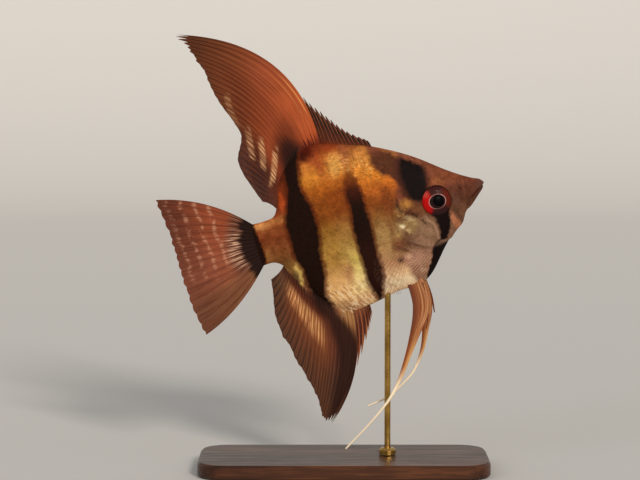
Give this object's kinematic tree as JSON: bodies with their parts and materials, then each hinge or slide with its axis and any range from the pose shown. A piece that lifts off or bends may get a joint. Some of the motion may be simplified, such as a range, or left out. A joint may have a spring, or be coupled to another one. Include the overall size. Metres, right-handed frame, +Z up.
{
  "type": "freshwater angelfish display model",
  "caption": "Life-size freshwater angelfish, nose up with all fins spread, held over a flat base by a slim rod into its belly.",
  "frame": {"origin": "middle of the flat underside of the stand's base", "axes": "+X the way the fish looks, +Y to the fish's left, +Z up"},
  "size_m": [0.1102, 0.044, 0.1442],
  "materials": {
    "skin": "satin painted resin with fine scales, gold and brown with dark upright bands",
    "fin": "satin, rayed, reddish brown with pale flecks",
    "clear_fin": "nearly clear, finely rayed",
    "feeler": "satin, orange brown running out to cream",
    "eye": "high gloss, red iris with a thin pale ring round a black pupil",
    "stand_wood": "dark stained, satin",
    "stand_brass": "brushed"
  },
  "bodies": {
    "root": {"head": "skin", "upper_jaw": "skin", "lower_jaw": "skin", "gill_cover_right": "skin", "gill_cover_left": "skin", "trunk": "skin", "tail_stalk": "skin", "eye_right": "eye", "eye_left": "eye", "dorsal_fin_spines": "fin", "dorsal_fin_sail": "fin", "anal_fin_spines": "fin", "anal_fin_sail": "fin", "caudal_fin": "fin", "pectoral_fin_right": "clear_fin", "pectoral_fin_left": "clear_fin", "pelvic_fin_right": "feeler", "pelvic_fin_left": "feeler", "stand_base": "stand_wood", "stand_rod": "stand_brass", "stand_collar": "stand_brass"}
  },
  "joints": []
}
